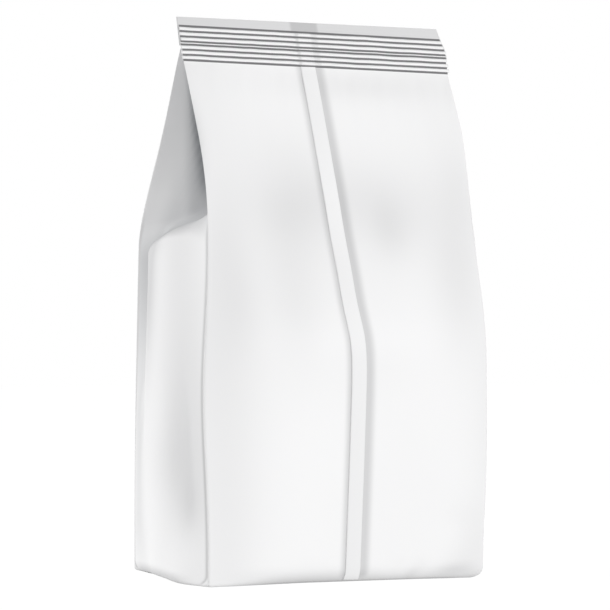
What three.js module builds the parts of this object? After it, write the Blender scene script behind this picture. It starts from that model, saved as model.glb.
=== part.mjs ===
// A filled flat-bottom pouch of white film, heat sealed shut: one piece of film, so one closed solid.
// Millimetres, +Z up. The origin is on the floor under the middle of the pouch, and the panel that
// carries the long back seam faces -Y. The sides are gussets: they bulge over the contents and fold
// inwards above them, and the top closes in a crimped seal that leans back.
import * as THREE from "three";

// Overall size
const WIDTH = 130; // across a panel, between its folds at the base
const DEPTH = 90; // between the front and back folds at the base
const HEIGHT = 245; // floor to the cut edge of the seal
const FOOT_RADIUS = 4; // rounding where the walls turn under

// Panels: each is straight from the base out to a soft kink, then straight up to the seal
const BASE_SETBACK = 1.5; // how far the middle of a panel stands behind its folds at the floor
const KINK_HEIGHT = 106;
const KINK_BULGE = 12; // how far the middle of a panel stands out past its folds at the kink
const KINK_SOFTNESS = 3;
const PANEL_FULLNESS = 2.2; // 2 is a plain parabola across the panel, more is flatter

// Folds: the four upright edges
const WAIST_SWELL = 2.6; // the front folds bow out over the contents
const WAIST_HEIGHT = 82;
const SHOULDER_PINCH = 1.8; // and draw in above them
const SHOULDER_HEIGHT = 168;
const FOLD_SPREAD = 42; // height over which the swell and the pinch fade
const FRONT_SHOULDER = 95; // the front folds lean back above this height
const FRONT_LEAN_POWER = 2.1;
const BACK_SHOULDER = 147; // the back folds turn in above this height
const BACK_DRAW = 2; // how far the back folds stand in by then
const BACK_EASE_LOW = 0.15; // the turn starts to straighten at this share of the rise
const BACK_EASE_HIGH = 0.95; // and is straight from this share on

// Gussets
const SIDE_BULGE = 3.5; // outward swell of a side over the contents
const GUSSET_SLACK = 0.6; // spare film in each half of a gusset
const LEDGE_FRONT = 158; // height where the gusset tucks in, at the front fold
const LEDGE_BACK = 146; // the same towards the back fold
const LEDGE_DROP = 45; // the tuck runs down the back fold as a fading valley this long
const LEDGE_DROP_FROM = 0.75; // share of the depth where the valley starts
const LEDGE_SOFTNESS = 12;
const VALLEY_SOFTNESS = 50; // how much more slowly the valley fades

// Top seal
const SEAL_LEAN = THREE.MathUtils.degToRad(21); // from upright, towards the back
const SEAL_SETBACK = 11.5; // the seal starts this far in front of the middle
const SEAL_WIDTH = 128.4;
const SEAL_TAPER = 0.8; // each end draws in by this much at the cut edge
const SEAL_BACK_RISE = 4.3; // the back panel meets the seal this far above the front one
const SEAL_ENTRY = 0.4; // height over which the gussets close on the seal
const FILM_STACK = 1.2; // thickness of the sealed layers at a groove
const CRIMP_RELIEF = 0.5; // how far a crimp ridge stands out past a groove
const CRIMP_PITCH = 2.2;
const CRIMP_GROOVE = 0.9; // width of a groove at the face
const CRIMP_GROUPS = 2;
const CRIMPS_PER_GROUP = 4;
const CRIMP_GROUP_GAP = 1.35; // between the last groove of one group and the first of the next
const CRIMP_START = 1; // first groove above the seal's lower edge
const LIP_HEIGHT = 3.8; // plain film above the last groove

// Back seam
const SEAM_WIDTH = 7;
const SEAM_PROUD = 0.9;
const SEAM_BEVEL = 0.35; // slope of the strip's long edges, measured across
const SEAM_BASE_X = 3; // the seam runs a little askew
const SEAM_SEAL_X = -4;
const SEAM_FOOT = 0.25; // share of its thickness left where it turns under the base
const SEAM_PRESSED = 0.5; // share of its thickness left where the seal presses it

// Sampling
const PANEL_STEPS = 8; // across each half of a panel, beside the seam
const SIDE_STEPS = 12;
const FOOT_STEPS = 4;
const LOWER_STEPS = 8;
const KINK_STEPS = 8;
const KINK_SPREAD = 14; // half the height of the finely sampled stretch at the kink
const WALL_STEPS = 3;
const LEDGE_STEPS = 14;
const UPPER_STEPS = 10;

// Derived places
const GUSSET_LEG = DEPTH / 2 + GUSSET_SLACK; // half of a gusset, from a fold to the middle crease
const CRIMP_GROUP = (CRIMPS_PER_GROUP - 1) * CRIMP_PITCH;
const CRIMP_BAND = CRIMP_START + CRIMP_GROUPS * CRIMP_GROUP + (CRIMP_GROUPS - 1) * CRIMP_GROUP_GAP;
const SEAL_BASE = HEIGHT - CRIMP_BAND - LIP_HEIGHT;
const SEAL_CLOSED = SEAL_BASE + SEAL_BACK_RISE; // the gussets are shut from here up
const KINK_LOW = KINK_HEIGHT - KINK_SPREAD;
const KINK_HIGH = KINK_HEIGHT + KINK_SPREAD;
const LEDGE_LOW = LEDGE_BACK - LEDGE_SOFTNESS;
const LEDGE_HIGH = LEDGE_FRONT + LEDGE_SOFTNESS;

const { clamp, lerp, smoothstep } = THREE.MathUtils;
const bump = (z, centre, spread) => Math.exp(-(((z - centre) / spread) ** 2));

// Heights of the crimp grooves.
function crimpHeights() {
  const heights = [];
  for (let group = 0; group < CRIMP_GROUPS; group++) {
    const first = SEAL_BASE + CRIMP_START + group * (CRIMP_GROUP + CRIMP_GROUP_GAP);
    for (let i = 0; i < CRIMPS_PER_GROUP; i++) heights.push(first + i * CRIMP_PITCH);
  }
  return heights;
}

// Half the thickness of the seal: full on the ridges, thin in the grooves and on the plain lip.
function sealHalf(z) {
  const nearest = Math.min(...crimpHeights().map((groove) => Math.abs(z - groove)));
  const lipStart = SEAL_BASE + CRIMP_BAND + CRIMP_GROOVE / 2;
  const ridge = z > lipStart ? 0 : clamp(nearest / (CRIMP_GROOVE / 2), 0, 1);
  return FILM_STACK / 2 + CRIMP_RELIEF * ridge;
}

// Half the width between the upright folds. The back folds stand straight, the front ones bow.
function halfWidth(z, front) {
  const swell = WAIST_SWELL * bump(z, WAIST_HEIGHT, FOLD_SPREAD);
  const pinch = SHOULDER_PINCH * bump(z, SHOULDER_HEIGHT, FOLD_SPREAD);
  const bow = front ? (swell - pinch) * (1 - smoothstep(z, SHOULDER_HEIGHT, SEAL_BASE)) : 0;
  const narrowing = ((WIDTH - SEAL_WIDTH) / 2) * smoothstep(z, SHOULDER_HEIGHT, SEAL_BASE);
  const taper = SEAL_TAPER * clamp((z - SEAL_BASE) / (HEIGHT - SEAL_BASE), 0, 1);
  return WIDTH / 2 + bow - narrowing - taper;
}

// Y of the seal's front or back face.
function sealY(z, side) {
  return -SEAL_SETBACK + (z - SEAL_BASE) * Math.tan(SEAL_LEAN) + side * sealHalf(z);
}

// Y of the front folds: upright over the contents, then leaning back to the seal.
function frontFoldY(z) {
  if (z > SEAL_BASE) return sealY(z, -1);
  const rise = Math.max(0, z - FRONT_SHOULDER) / (SEAL_BASE - FRONT_SHOULDER);
  return lerp(-DEPTH / 2, sealY(SEAL_BASE, -1), rise ** FRONT_LEAN_POWER);
}

// Y of the back folds: nearly upright, then turning in to the seal.
function backFoldY(z) {
  if (z > SEAL_CLOSED) return sealY(z, 1);
  const rise = clamp((z - BACK_SHOULDER) / (SEAL_CLOSED - BACK_SHOULDER), 0, 1);
  const turn = lerp(smoothstep(rise, 0, 1), rise, smoothstep(rise, BACK_EASE_LOW, BACK_EASE_HIGH));
  const upright = DEPTH / 2 - BACK_DRAW * Math.min(1, z / BACK_SHOULDER);
  return lerp(upright, sealY(SEAL_CLOSED, 1), turn);
}

// Y of a panel's middle line: out to the kink, then in to the seal, with the corner rounded off.
function middleY(z, front) {
  const side = front ? -1 : 1;
  const top = front ? SEAL_BASE : SEAL_CLOSED;
  const kink = DEPTH / 2 + KINK_BULGE;
  const lower = lerp(DEPTH / 2 - BASE_SETBACK, kink, z / KINK_HEIGHT);
  const upper = lerp(kink, side * sealY(top, side), (z - KINK_HEIGHT) / (top - KINK_HEIGHT));
  return (side * (lower + upper - Math.hypot(lower - upper, KINK_SOFTNESS))) / 2;
}

// The walls draw in towards the floor on a quarter round.
function footScale(z, half) {
  const up = Math.min(1, z / FOOT_RADIUS);
  return 1 - (FOOT_RADIUS * (1 - Math.sqrt(1 - (1 - up) ** 2))) / half;
}

function place(x, y, z) {
  return new THREE.Vector3(x * footScale(z, WIDTH / 2), y * footScale(z, DEPTH / 2), z);
}

// X of a panel's columns from the left fold to the right one. Two of them lie on the seam strip.
function columns(z, front) {
  const half = halfWidth(z, front);
  const seam = lerp(SEAM_BASE_X, SEAM_SEAL_X, Math.min(1, z / SEAL_BASE));
  const left = seam - SEAM_WIDTH / 2;
  const right = seam + SEAM_WIDTH / 2;
  const xs = [];
  for (let i = 0; i <= PANEL_STEPS; i++) xs.push(lerp(-half, left, i / PANEL_STEPS));
  xs.push(left + SEAM_BEVEL, right - SEAM_BEVEL);
  for (let i = 0; i <= PANEL_STEPS; i++) xs.push(lerp(right, half, i / PANEL_STEPS));
  return xs;
}

function onSeam(column) {
  return column === PANEL_STEPS + 1 || column === PANEL_STEPS + 2;
}

// The front or back panel at one height, from the left fold to the right one.
function panel(z, front) {
  const fold = front ? frontFoldY(z) : backFoldY(z);
  const free = z < (front ? SEAL_BASE : SEAL_CLOSED);
  const bulge = free ? middleY(z, front) - fold : 0;
  const seam = SEAM_PROUD * lerp(SEAM_FOOT, 1, Math.min(1, z / FOOT_RADIUS)) * (free ? 1 : SEAM_PRESSED);
  return columns(z, front).map((x, i) => {
    const swell = bulge * (1 - Math.abs(x / halfWidth(z, front)) ** PANEL_FULLNESS);
    const strip = front && onSeam(i) ? seam : 0;
    return place(x, fold + swell - strip, z);
  });
}

// A side at one height, from just behind the front fold to just before the back one.
function gusset(z, side) {
  const front = frontFoldY(z);
  const back = backFoldY(z);
  const tuck = Math.sqrt(Math.max(0, GUSSET_LEG ** 2 - ((back - front) / 2) ** 2));
  const points = [];
  for (let i = 1; i < SIDE_STEPS; i++) {
    const along = (1 - Math.cos((Math.PI * i) / SIDE_STEPS)) / 2;
    const valley = smoothstep(along, LEDGE_DROP_FROM, 1);
    const ledge = lerp(LEDGE_FRONT, LEDGE_BACK, along) - LEDGE_DROP * valley;
    const reach = (LEDGE_SOFTNESS + VALLEY_SOFTNESS * valley) / 2;
    const tucked = smoothstep(z, ledge - reach, ledge + reach);
    const inwards = tuck * (1 - Math.abs(2 * along - 1));
    const filled = lerp(SIDE_BULGE * Math.sin(Math.PI * along), -inwards, tucked);
    const sealed = ((back - front) / 2) * Math.sin(Math.PI * along);
    const half = lerp(halfWidth(z, true), halfWidth(z, false), along);
    const out = z > SEAL_CLOSED ? sealed : filled;
    points.push(place(side * (half + out), lerp(front, back, along), z));
  }
  return points;
}

// One level of the pouch, anticlockwise from above, starting at the front left fold.
function ring(z) {
  return [...panel(z, true), ...gusset(z, 1), ...panel(z, false).reverse(), ...gusset(z, -1).reverse()];
}

// Heights of the levels, closer together where the wall turns and at every crimp.
function levels() {
  const zones = [
    [0, FOOT_RADIUS, FOOT_STEPS],
    [FOOT_RADIUS, KINK_LOW, LOWER_STEPS],
    [KINK_LOW, KINK_HIGH, KINK_STEPS],
    [KINK_HIGH, LEDGE_LOW, WALL_STEPS],
    [LEDGE_LOW, LEDGE_HIGH, LEDGE_STEPS],
    [LEDGE_HIGH, SEAL_BASE, UPPER_STEPS],
  ];
  const heights = [0, SEAL_CLOSED, SEAL_CLOSED + SEAL_ENTRY];
  for (const [low, high, steps] of zones) {
    for (let i = 1; i <= steps; i++) heights.push(lerp(low, high, i / steps));
  }
  for (const groove of crimpHeights()) {
    heights.push(groove - CRIMP_GROOVE / 2, groove, groove + CRIMP_GROOVE / 2);
  }
  heights.push(SEAL_BASE + CRIMP_BAND + CRIMP_PITCH / 2, HEIGHT);
  return heights.sort((a, b) => a - b);
}

// Triangles that close a level: strips from the front panel to the back one, and a fan on each side.
function cap(columnCount) {
  const sideCount = SIDE_STEPS - 1;
  const backStart = columnCount + sideCount;
  const leftStart = backStart + columnCount;
  const across = (i) => backStart + columnCount - 1 - i;
  const triangles = [];
  for (let i = 0; i < columnCount - 1; i++) {
    triangles.push([i, i + 1, across(i + 1)], [i, across(i + 1), across(i)]);
  }
  for (let i = columnCount; i < backStart; i++) triangles.push([columnCount - 1, i, i + 1]);
  for (let i = leftStart; i < leftStart + sideCount; i++) {
    triangles.push([leftStart - 1, i, (i + 1) % (leftStart + sideCount)]);
  }
  return triangles;
}

// The closed skin through all the levels.
function skin(rings) {
  const count = rings[0].length;
  const index = [];
  for (let level = 0; level < rings.length - 1; level++) {
    for (let i = 0; i < count; i++) {
      const a = level * count + i;
      const b = level * count + ((i + 1) % count);
      index.push(a, b, b + count, a, b + count, a + count);
    }
  }
  const top = (rings.length - 1) * count;
  for (const [a, b, c] of cap(columns(0, true).length)) {
    index.push(a, c, b, top + a, top + b, top + c);
  }
  const geometry = new THREE.BufferGeometry().setFromPoints(rings.flat());
  geometry.setIndex(index);
  geometry.computeVertexNormals();
  return geometry;
}

const whiteFilm = new THREE.MeshStandardMaterial({ color: 0xf2f2f2, roughness: 0.45, metalness: 0 });

const pouch = new THREE.Mesh(skin(levels().map(ring)), whiteFilm);
pouch.name = "pouch";

const flatBottomPouch = new THREE.Group();
flatBottomPouch.add(pouch);

export default flatBottomPouch;
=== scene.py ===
"""The looks of a flat-bottom pouch: its film skin, its crimped top seal, its back seam and a pale stage."""

import math

import bpy
import numpy as np
from mathutils import Matrix, Vector


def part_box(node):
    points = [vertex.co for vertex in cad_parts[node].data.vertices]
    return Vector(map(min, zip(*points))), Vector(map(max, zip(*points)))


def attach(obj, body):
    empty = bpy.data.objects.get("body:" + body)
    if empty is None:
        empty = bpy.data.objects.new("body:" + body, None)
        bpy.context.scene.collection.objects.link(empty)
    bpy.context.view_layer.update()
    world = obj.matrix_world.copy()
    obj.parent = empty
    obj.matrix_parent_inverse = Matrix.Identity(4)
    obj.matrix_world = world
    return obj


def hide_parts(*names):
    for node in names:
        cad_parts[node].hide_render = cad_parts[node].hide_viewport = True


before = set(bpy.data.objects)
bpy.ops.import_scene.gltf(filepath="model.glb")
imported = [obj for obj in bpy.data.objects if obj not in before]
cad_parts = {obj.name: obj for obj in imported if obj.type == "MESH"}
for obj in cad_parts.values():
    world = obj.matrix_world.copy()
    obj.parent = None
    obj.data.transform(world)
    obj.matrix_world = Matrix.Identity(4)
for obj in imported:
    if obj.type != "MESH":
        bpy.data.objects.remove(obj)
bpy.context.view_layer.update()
POUCH_LOW, POUCH_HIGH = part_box("pouch")

bl_info = {
    "name": "Flat-bottom pouch",
    "version": (1, 0, 0),
    "blender": (4, 5, 0),
    "location": "3D View > Sidebar > Pouch",
    "description": "Makes the film, the crimped seal, the back seam and the stage of a flat-bottom pouch",
    "category": "Object",
}

MM = 1000.0  # shapes are worked out in millimetres, and meshes are in metres

# Panels, in millimetres
BASE_SETBACK = 1.5  # at the floor, of a panel's middle
KINK_SOFTNESS = 6
PANEL_FULLNESS = 2.2  # across the panel; 2 is a parabola
DENT_FADE = 6  # height under the seal
RIPPLES = ((0.55, 0.8, 1), (0.93, 2.1, 0.6))  # under the seal: rate, start, share
RIPPLE_DEPTH, RIPPLE_REACH = 0.16, 13
TROUGH_DEPTH, TROUGH_OFFSET = 0.25, 1  # along both edges of the seam
TROUGH_LEFT, TROUGH_RIGHT, TROUGH_FOOT = 1.5, 2.4, (2, 8)

# Folds
WAIST_SWELL, WAIST_HEIGHT = 2.6, 82
SHOULDER_PINCH, SHOULDER_HEIGHT = 1.8, 168
FOLD_SPREAD = 42
FRONT_SHOULDER, FRONT_LEAN_POWER = 95, 2.4
BACK_SHOULDER, BACK_DRAW = 146.5, 4.5
BACK_EASE = (-0.38, 0.89)
FOLD_LINE_INSET, FOLD_LINE_WIDTH, FOLD_LINE_DEPTH = 1.3, 1, 0.22  # a fine crease beside each fold
FOLD_LINE_CURL, FOLD_LINE_CURL_HEIGHT = 5, 2.4  # it curls away at the floor
FOLD_LINE_FOOT, FOLD_LINE_TOP = (0.5, 2), (150, 163)
# Bends of the front folds: height, half span, shift to the right
LEFT_BENDS = ((190, 16, 0.3),)
RIGHT_BENDS = ((190, 16, 0.4), (139, 14, -0.5), (82, 16, -0.5), (38, 20, 0.65))
FOLD_SOFTENING, FOLD_SOFT_SPAN, FOLD_SOFT_ROUNDS = 0.5, (0.008, 0.05), 5  # spans are shares of a wall

# Gussets; spans along a side are shares of its depth from the front fold
GUSSET_SLACK = 0.6
LEDGE_HEIGHT, LEDGE_DROP, LEDGE_TURN = 156.2, 9, 0.45  # down towards the back fold
LEDGE_DIP, LEDGE_DIP_SPAN = 3.4, 0.22  # beside the front fold
LEDGE_SOFTNESS = 16
VALLEY_DEPTH, VALLEY_WIDTH, VALLEY_WALL = 7, 15, 6  # beside the back fold
VALLEY_HEIGHTS = (48, 128)  # where it fades out
# Painted shade in the valley and the tuck, where little light would reach
VALLEY_GREY, VALLEY_GREY_HEIGHTS = 0.5, (30, 150)
VALLEY_FOOT_WIDTH, VALLEY_GREY_EDGE = 5, (-1.5, 4)
TUCK_SLANT = math.radians(23.9)  # of light into a tuck
TUCK_STEP, TUCK_STEP_GREY = (-55, -49), 0.4  # across that light
TUCK_STEP_RISE = (-2, 7)  # over the ledge
TUCK_WEDGE, TUCK_WEDGE_RISE = (0, 0.2), (4, 21)  # the darkest painted shade
TUCK_MOUTH_LEAST = 1
TUCK_LIT_HEIGHTS = (195, 230)  # where its painted shade ends
TUCK_GREY, TUCK_GREY_RISE = 0.25, (5, 35)
TUCK_BACK_LOSS, TUCK_BACK_SPAN = 0.9, (0.8, 0.92)  # painted shade lighter beside the back fold
TUCK_LOW_GREY, TUCK_LOW_RISE = 0.18, (-2, 14)

# Foot
FOOT_SHARPEST = 1.4  # rounding at the ends of the base
FOOT_SPAN, FOOT_END, FOOT_END_LOSS = (-62, -15), (35, 62), 0.3  # it grows and shrinks again
FOOT_GREY, FOOT_GREY_HEIGHT = 0.62, 9  # painted shade where the film turns away from the light
FOOT_GREY_SPAN, FOOT_GREY_END, FOOT_GREY_LOSS = (-60, -28), (-30, 34), 0.82
FOOT_SHADOW_LINE, FOOT_LINE_HEIGHTS, FOOT_LINE_END = 0.7, (0.1, 1.2), (50, 60)  # a thin painted shadow line at the floor
# Painted shade along the foot of each side
SIDE_FOOT_GREY, SIDE_FOOT_HEIGHT = 1.15, 5.4
SIDE_FOOT_SPAN, SIDE_FOOT_END, SIDE_FOOT_LOSS = (0.1, 0.35), (0.82, 1), 0.5
SIDE_LIFT, SIDE_LIFT_HEIGHT = 1.3, 26  # off the floor, at the back folds
SIDE_LIFT_SPAN, BACK_LIFT_SPAN = (0.15, 0.65), (0.5, 1)

# Top seal
SEAL_SETBACK = 12.1
SEAL_TAPER = 0.8
SEAL_BACK_RISE = 7.35  # of the back panel's join
SEAL_RIGHT_CUT, SEAL_CUT_START = 2.4, 11.5  # a slant cut above this height
SEAL_RIGHT_EXTRA, SEAL_EXTRA_RISE = 0.75, 6  # that end is also a little wider
SEAL_ENTRY = 0.4
SEAL_END_GREY = 0.45  # painted groove shade on the cut ends
CORE_HALF = 0.45  # half the sealed film's thickness
CRIMPS_PER_GROUP = 4
CRIMP_START = 1
CRIMP_SLOPE = 0.008  # down towards the right
CRIMP_DROP_REACH, CRIMP_DROP_END = 30, 0.7  # below and above the crimps
GROOVE_EDGE = (0.45, 0.65)  # past the outer grooves

# Ridges of the seal
RIDGE_SIDES, RIDGE_STEPS = 16, 240
RIDGE_INSET, RIDGE_RAGGED, RIDGE_SEED = 0.1, 0.2, 7  # short, uneven ends
RIDGE_RIPPLE, RIDGE_NOISE = 0.4, (90, 1)
RIDGE_FACE = 0.2  # where front turns to back
RIDGE_BURIED = -0.6 * CORE_HALF  # below the back panel's join
RIDGE_JOIN = (-0.2, 0.6)  # heights about that join
RIDGE_LIFT, RIDGE_LIFT_EDGE = 0.3, (0.5, -0.3)  # over the seam's layers
# Painted shade on the ridges beside the seam: side, distance past its edge, outer and inner reach, strength
RIDGE_SHADES = ((-1, 0, 1.1, 0.3, 0.55), (1, 1.4, 2.2, 1, 0.4))

# Back seam
SEAM_BASE_X, SEAM_KINK_X, SEAM_SEAL_X = 2.4, 0.6, -4.8
SEAM_BOW = 0.6  # to the left, between the kink and the seal
SEAM_BENDS = ((118, 15, -1.3), (163, 15, 0.35))  # height, half span, shift to the right
# Painted shade beside the strip: left, right, and how it starts at the foot
SEAM_SHADE_LEFT, SEAM_SHADE_RIGHT, SEAM_SHADE_FOOT = (-0.4, 3.6), (1.6, 5.8), (0.5, 4)
STRIP_START, STRIP_END = 1.1, 0.6  # above the floor and into the seal
STRIP_FOOT_TURN = 0.7  # share of the film's own turn
STRIP_THICKNESS, STRIP_ROUNDING, STRIP_EDGE_STEPS = 1.2, 0.4, 4
STRIP_SINK, STRIP_SINK_HEIGHT = 0.6, 3  # into the film, under the seal
# Painted shade on the strip: below the kink, above it, and the turn between
STRIP_LOWER_GREY, STRIP_UPPER_GREY, STRIP_GREY_TURN = 0.28, 0.15, 10
STRIP_FOOT_ROWS, STRIP_ROWS = 8, 220
LIP_SEAM_SHIFT, LIP_SEAM_EDGE = 1.1, (5.8, 7.2)  # right of the strip

# Soft dents in the panel with the seam: x, height, half width, half height, depth
PANEL_DENTS = (
    (0, 148, 42, 29, 3),
    (-26, 166, 13, 13, 1.2),
    (26, 159, 11, 13, 1),
    (60, 152, 9, 22, 1),
    (-55, 126, 9, 24, 1),
    (54, 24, 10, 7, 0.8),
    (33.5, 5, 4.5, 4, 0.7),
    (52, 6.5, 8, 5, 0.9),
    (22, 5.5, 5, 4, 0.4),
    (-22, 6, 11, 4, 0.4),
)
# Painted shade on that panel, in soft patches: x, height, half spans, strength
PANEL_SHADE_PATCHES = (
    (-24, 165, 23, 26, 0.43),  # hollow left of the seam
    (16, 165, 32, 19, 0.37),  # hollow right of it
    (23, 154, 9, 15, 0.26),  # its deepest place
    (-58, 135, 14, 35, 0.33),  # left shoulder
    (53, 135, 14, 35, 0.4),  # right shoulder
    (-67, 192, 5, 16, 0.9),  # left fold above it
    (58, 171, 9, 22, 0.2),  # right fold above it
    (-58, 10, 17, 190, 0.33),  # left fold below it
    (80, 70, 18, 80, 0.38),  # right fold below it
    (-27, 123, 13, 32, 0.27),  # kink, left of the seam
    (5, 94, 23, 17, 0.11),  # kink, under the seam's bend
    (42, 68, 52, 94, 0.12),  # right half
    (20, 217, 40, 7, 0.24),  # under the seal
    (60, 12, 10, 18, 0.2),  # right end of the foot
    (51, 4.2, 9, 3, 0.58),  # dents along the foot
    (32, 3, 3.5, 3, 0.3),
)
# Soft dents in each side: share of the depth from the front, height, half spans, depth
SIDE_DENTS = (
    (0.26, 58, 0.14, 36, 4.2),
    (0.24, 0, 0.18, 14, -3),
    (0.82, 0, 0.14, 20, 2.5),
)
# Painted shade on each side, in soft patches: share of the depth from the front, height, half spans,
# strength
SIDE_SHADE_PATCHES = (
    (0.33, 130, 0.28, 120, 0.52),  # hollow in front of the middle
    (0.38, 50, 0.34, 16, 0.18),  # its foot
    (0.24, 58, 0.09, 33, 0.31),  # the crease in it
    (0.2, 34, 0.13, 12, 0.39),  # the crease's lower end
    (0.08, 65, 0.17, 54, 0.42),  # beside the front fold
    (0.76, 138, 0.14, 46, 1.15),  # beside the valley
    (0.7, 152, 0.16, 7, 0.85),  # under the ledge
    (0.02, 156, 0.07, 6, 0.6),  # front end of the ledge
    (0.89, 60, 0.08, 24, 0.56),  # foot of the valley
    (0.91, 26, 0.11, 20, 0.38),  # back corner
)

# Rows and columns of the film's mesh
PANEL_COLUMNS, SIDE_COLUMNS, SPACING_STEPS = 129, 77, 2000
FOLD_PITCH, OPEN_PITCH, SEAM_PITCH = 0.4, 1.5, 0.7
PANEL_FOLD_REACH, SEAM_REACH = (1.5, 14), (8, 20)
SIDE_FOLD_REACH, CREASE_REACH = (6, 18), (1.5, 10)
FOOT_ROWS, WALL_ROWS, CRIMP_ROWS, WALL_END = 15, 168, 8, 2
SEAL_BASE_ROWS = (-1.4, -0.8, -0.3, 0)
CLOSING_ROWS = (-0.6, -0.2, 0, SEAL_ENTRY / 2, SEAL_ENTRY, SEAL_ENTRY + 0.4)
LIP_ROWS = (-2.4, -1.2, -0.3, -0.08, 0)
ROW_DIGITS = 4

# Finish of the film; a noise has a scale and a detail
FILM_NOISES = ((22, 2), (160, 3), (1900, 2))  # clouds, wrinkles and grain
DULL_SHARE, CLOUD_TONE, GRAIN_TONE, CLOUD_GLOSS = 0.975, 0.6, 0.2, 0.08
WRINKLE_RELIEF, GRAIN_RELIEF, RELIEF_STRENGTH, RELIEF_DEPTH = 0.8, 0.12, 0.12, 0.0006
FILM_SPECULAR = 0.2
# Marks that tint the film; tuck, seam_shade, fold_line, pressed and crimp_groove are painted shade
FILM_MARKS = ("tuck", "seam_shade", "fold_line", "pressed", "lip", "lip_seam", "crimp_groove")

# Stage, in metres and watts
FLOOR_REACH, FLOOR_SHADE, FLOOR_GLOW = 6, 0.12, 0.95
FLOOR_CORNERS = ((-1, -1), (1, -1), (1, 1), (-1, 1))
FLOOR_ROUGHNESS, FLOOR_SPECKLE, FLOOR_NOISE = 0.9, 0.05, (40, 2)
ROOM_STEPS = ((0, 0.25), (0.35, 0.34), (0.48, 0.5), (0.58, 0.5), (0.7, 0.21))  # from straight down to up
ROOM_STRENGTH = 2
SOFTBOX_SIZE, SOFTBOX_DISTANCE, SOFTBOX_AIM = 0.9, 1.6, 0.12
SOFTBOXES = (("front_softbox", 14, 9, 12.65), ("left_softbox", -128, 12, 14))  # turn, rise, power

# Camera, in degrees and metres, with its lens in millimetres
CAMERA_TURN, CAMERA_TILT = -23.8, -0.85
CAMERA_DISTANCE, CAMERA_LENS, SENSOR_WIDTH = 1.31, 174, 36
AIM_HEIGHT, AIM_SHIFT = 0.12, -0.0007


def length(name, description, default):
    """A size that a user can change, in metres."""
    return bpy.props.FloatProperty(
        name=name, description=description, default=default, min=0.0, precision=5, unit="LENGTH"
    )


def colour(name, description, default):
    return bpy.props.FloatVectorProperty(
        name=name, description=description, default=(*default, 1), size=4, min=0, max=1, subtype="COLOR"
    )


class PouchSizes(bpy.types.PropertyGroup):
    """Sizes of the pouch"""

    panel_width: length("Panel width", "Between the folds of a panel at the base", 0.130)
    depth: length("Depth", "Between the front and back folds at the base", 0.090)
    height: length("Height", "Floor to the cut edge of the seal", POUCH_HIGH.z - POUCH_LOW.z)
    foot_radius: length("Foot rounding", "Where the walls turn under, at its fullest", 0.0065)
    kink_height: length("Kink height", "Where the panels stand out most", 0.106)
    kink_bulge: length("Kink bulge", "How far a panel stands out past its folds", 0.012)
    side_bulge: length("Side bulge", "Outward swell of a side over the contents", 0.0035)
    seal_width: length("Seal width", "Along the top seal", 0.1284)
    seal_lean: bpy.props.FloatProperty(
        name="Seal lean", description="Of the seal, backwards", default=math.radians(21), unit="ROTATION"
    )
    crimp_pitch: length("Crimp pitch", "Between two grooves of the seal", 0.002325)
    crimp_gap: length("Crimp gap", "Between the two groups of grooves", 0.00135)
    crimp_groove: length("Crimp groove", "Film left bare between two ridges", 0.0007)
    crimp_proud: length("Crimp height", "Half the thickness of the seal at a ridge", 0.00105)
    lip_height: length("Lip height", "Plain film above the last groove", 0.0047)
    seam_width: length("Seam width", "Across the back seam's strip", 0.007)
    seam_proud: length("Seam height", "How far the strip stands out of the panel", 0.0004)


class PouchFinish(bpy.types.PropertyGroup):
    """Colours and gloss of the film and the floor"""

    film: colour("Film", "White film", (0.868, 0.868, 0.872))
    # Painted shade at the bottom of each crimp groove
    crimp_groove: colour("Crimp groove", "Bottom of a crimp groove", (0.175, 0.175, 0.18))
    lip: colour("Lip", "Plain lip above the crimps", (0.67, 0.67, 0.675))
    lip_seam: colour("Lip at the seam", "Where the seam's layers cross the lip", (0.53, 0.53, 0.535))
    # Painted shade beside the seam
    seam_shade: colour("Seam shade", "Film drawn in beside the seam", (0.625, 0.625, 0.63))
    # Painted shade deep in a gusset's fold
    tuck: colour("Tuck", "Film deep in a gusset's fold", (0.29, 0.30, 0.315))
    # Painted shade, multiplied over the film where the pressed mark lies: soft patches, the foot and the
    # strip
    pressed: colour("Dent", "How much a soft dent dims the film", (0.70, 0.70, 0.703))
    # The fine crease beside a fold is real relief; this grey on it is painted shade
    fold_line: colour("Fold line", "Fine crease beside a fold", (0.58, 0.58, 0.585))
    floor: colour("Floor", "Pale floor", (0.95, 0.95, 0.95))
    gloss: bpy.props.FloatProperty(
        name="Roughness", description="Of the satin film", default=0.55, min=0.0, max=1.0, subtype="FACTOR"
    )


def smooth(value, low, high):
    """A soft step from 0 at the low value to 1 at the high one."""
    share = np.clip((value - low) / (high - low), 0, 1)
    return share * share * (3 - 2 * share)


def fade(value, low, high):
    """A soft step from 1 at the low value to 0 at the high one."""
    return 1 - smooth(value, low, high)


def mix(first, second, share):
    return first + (second - first) * share


def hump(value, centre, spread):
    """A soft bump, 1 at its centre."""
    return np.exp(-(((value - centre) / spread) ** 2))


def bent(z, bends):
    """Sideways shift of a line; each bend gives a height, a half span and a shift."""
    return sum(shift * hump(z, height, span) for height, span, shift in bends)


def patches(across, up, table):
    """Sum of soft round patches; each row gives a centre, two half spans and a strength."""
    total = 0 * across * up
    for x, z, half_across, half_up, strength in table:
        total = total + strength * hump(across, x, half_across) * hump(up, z, half_up)
    return total


def around(front, right, back, left):
    """Rows of the whole film from rows of its four walls, counter-clockwise from above."""
    return np.concatenate([front, right, back[:, ::-1], left[:, ::-1]], axis=1)


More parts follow.
